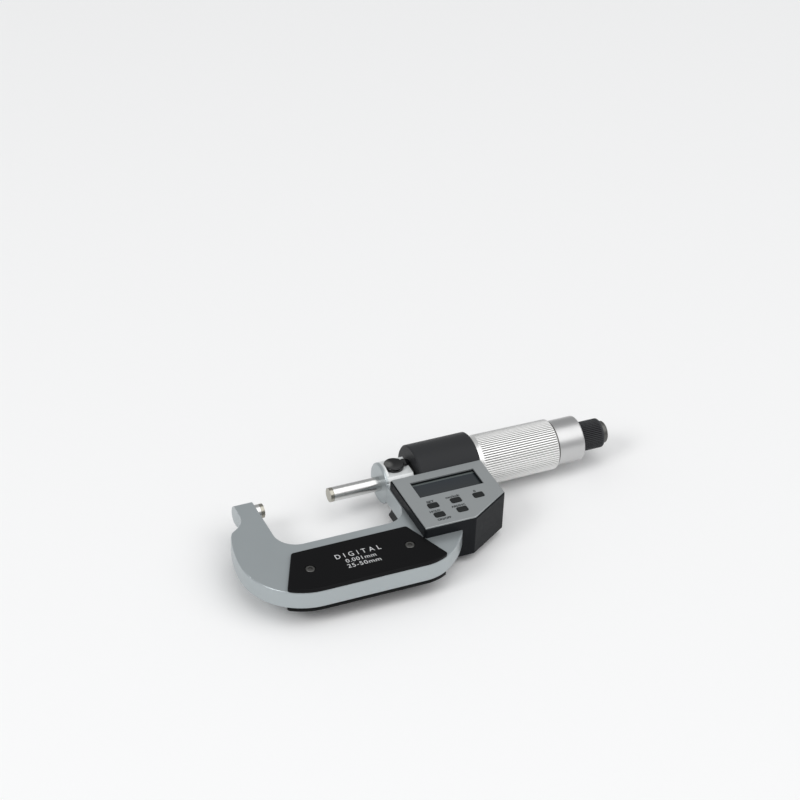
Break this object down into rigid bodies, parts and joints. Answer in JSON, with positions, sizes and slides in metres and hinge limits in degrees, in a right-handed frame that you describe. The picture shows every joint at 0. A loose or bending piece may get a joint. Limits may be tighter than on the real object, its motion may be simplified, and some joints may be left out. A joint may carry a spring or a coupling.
{
  "type": "digital outside micrometer",
  "caption": "Digital outside micrometer with a C frame, lever lock, display housing, knurled thimble and ratchet knob.",
  "frame": {"origin": "centre of the anvil's measuring face", "axes": "+X along the spindle from the anvil to the ratchet, -Y into the bow, +Z out of the display face"},
  "size_m": [0.1916, 0.0794, 0.0282],
  "materials": {
    "frame_enamel": "satin light grey enamel",
    "steel": "fine ground",
    "carbide": "lapped",
    "plate_black": "satin",
    "lock_black": "gloss",
    "screw_black": "black oxide",
    "seal_rubber": "matt",
    "brass": "turned",
    "housing_plastic": "satin dark grey",
    "panel_silver": "satin silver",
    "lcd": "blue grey display cell",
    "holder_plastic": "matt",
    "board": "solder mask",
    "button_rubber": "matt",
    "cell_steel": "bright",
    "thimble_satin": "bright satin",
    "knob_black": "satin"
  },
  "bodies": {
    "instrument": {"frame": "frame_enamel", "anvil": "steel", "anvil_tip": "carbide", "front_plate": "plate_black", "back_plate": "plate_black", "plate_screws": "screw_black", "lock_pad": "brass", "neck_seal": "seal_rubber", "sleeve": "brass", "adjusting_ring": "steel", "encoder_stator": "board", "housing": "housing_plastic", "back_cover": "housing_plastic", "cover_screws": "screw_black", "display_panel": "panel_silver", "lcd_cell": "lcd", "lcd_holder": "holder_plastic", "contact_strips": "seal_rubber", "circuit_board": "board", "switches": "holder_plastic", "battery": "cell_steel", "battery_contact": "cell_steel"},
    "rotor": {"encoder_rotor": "brass"},
    "screw": {"spindle": "steel", "spindle_tip": "carbide", "thimble": "thimble_satin", "collar": "thimble_satin", "click_disc": "brass", "ratchet_spring": "steel", "ratchet_screw": "screw_black"},
    "ratchet": {"ratchet_knob": "knob_black"},
    "lock": {"lock_lever": "lock_black", "lock_stem": "steel"},
    "key_1": {"button_1": "button_rubber"},
    "key_2": {"button_2": "button_rubber"},
    "key_3": {"button_3": "button_rubber"},
    "key_4": {"button_4": "button_rubber"},
    "key_5": {"button_5": "button_rubber"},
    "cap": {"battery_cap": "housing_plastic", "cap_seal": "seal_rubber"}
  },
  "joints": [
    {"name": "spindle_turn", "type": "hinge", "parent": "instrument", "child": "rotor", "pos_m": [0.078, 0, 0], "axis": [1, 0, 0], "range_deg": [-4320, 13680]},
    {"name": "spindle_slide", "type": "slide", "parent": "rotor", "child": "screw", "axis": [1, 0, 0], "range_m": [-0.006, 0.019]},
    {"name": "ratchet_turn", "type": "hinge", "parent": "screw", "child": "ratchet", "pos_m": [0.158, 0, 0], "axis": [1, 0, 0], "continuous": true},
    {"name": "lock_turn", "type": "hinge", "parent": "instrument", "child": "lock", "pos_m": [0.0619, 0, 0.008], "axis": [0, 0, 1], "range_deg": [-10, 60]},
    {"name": "button_1_press", "type": "slide", "parent": "instrument", "child": "key_1", "axis": [0, 0, -1], "range_m": [0, 0.0005], "stiffness_N_per_m": 800, "springref_m": -0.0002},
    {"name": "button_2_press", "type": "slide", "parent": "instrument", "child": "key_2", "axis": [0, 0, -1], "range_m": [0, 0.0005], "stiffness_N_per_m": 800, "springref_m": -0.0002},
    {"name": "button_3_press", "type": "slide", "parent": "instrument", "child": "key_3", "axis": [0, 0, -1], "range_m": [0, 0.0005], "stiffness_N_per_m": 800, "springref_m": -0.0002},
    {"name": "button_4_press", "type": "slide", "parent": "instrument", "child": "key_4", "axis": [0, 0, -1], "range_m": [0, 0.0005], "stiffness_N_per_m": 800, "springref_m": -0.0002},
    {"name": "button_5_press", "type": "slide", "parent": "instrument", "child": "key_5", "axis": [0, 0, -1], "range_m": [0, 0.0005], "stiffness_N_per_m": 800, "springref_m": -0.0002},
    {"name": "battery_cap_turn", "type": "hinge", "parent": "instrument", "child": "cap", "pos_m": [0.0852, -0.0272, -0.0105], "axis": [0, 0, 1], "range_deg": [0, 60]}
  ],
  "couplings": [
    {"joint": "spindle_turn", "follows": "spindle_slide", "rad_per_m": 12566}
  ]
}
